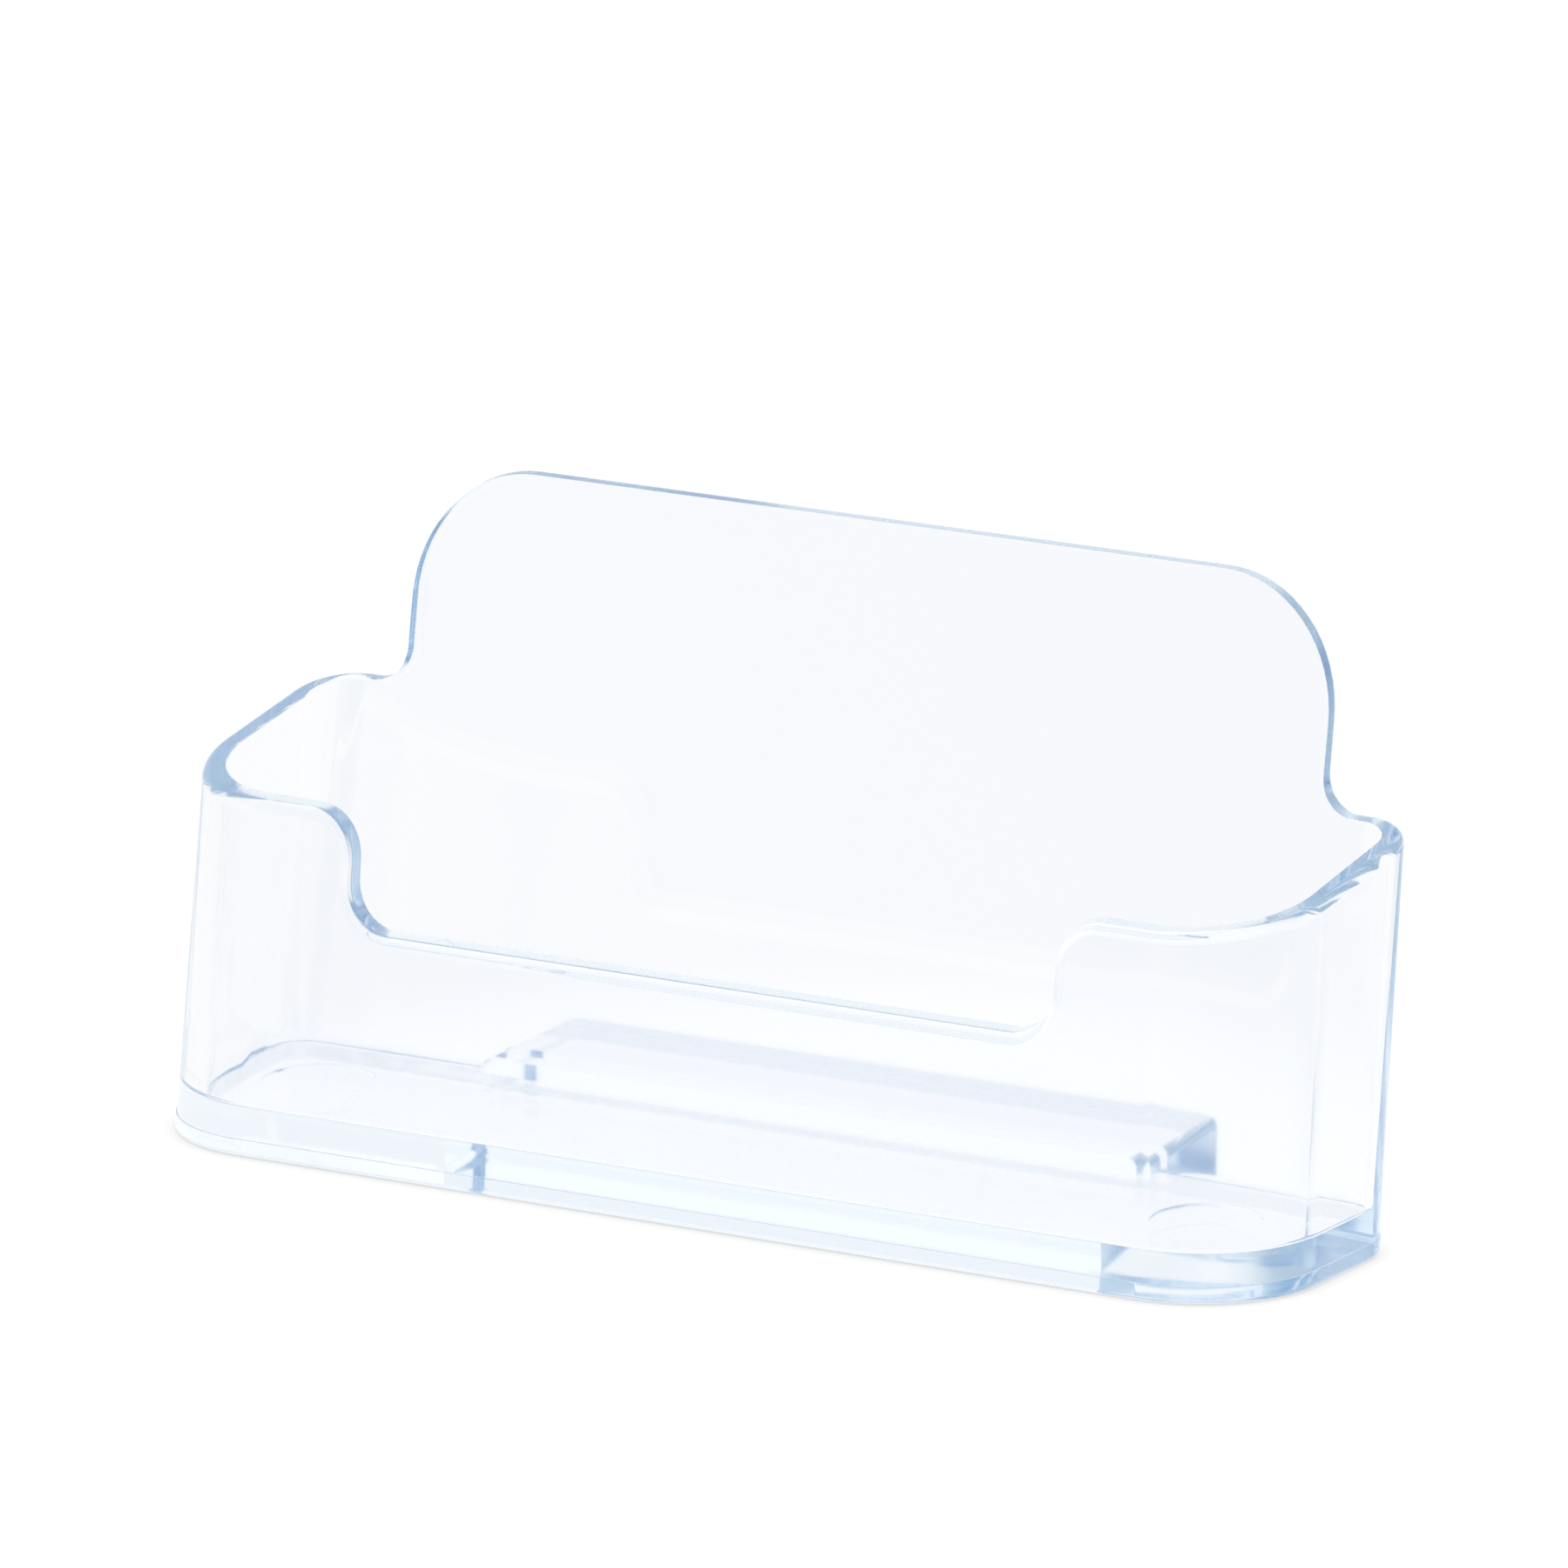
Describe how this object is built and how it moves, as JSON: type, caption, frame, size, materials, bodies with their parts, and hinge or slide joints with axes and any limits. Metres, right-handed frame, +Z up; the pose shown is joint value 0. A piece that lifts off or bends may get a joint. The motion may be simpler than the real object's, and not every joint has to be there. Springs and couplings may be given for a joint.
{
  "type": "business card holder stand",
  "caption": "Clear moulded desk stand that holds business cards in a leaning pocket, with a dipped front wall, a tall rounded back panel and a flat rear foot.",
  "frame": {"origin": "on the table, at the centre of the whole footprint's box", "axes": "+X along the width, to the right as seen from the front; +Y from the front wall to the rear foot; +Z up"},
  "size_m": [0.0982, 0.0332, 0.0481],
  "materials": {
    "clear_plastic": "clear polystyrene with a faint blue tint, polished mould faces"
  },
  "bodies": {
    "root": {"base_plate": "clear_plastic", "front_wall": "clear_plastic", "left_side_wall": "clear_plastic", "right_side_wall": "clear_plastic", "back_panel": "clear_plastic", "rear_foot": "clear_plastic"}
  },
  "joints": []
}
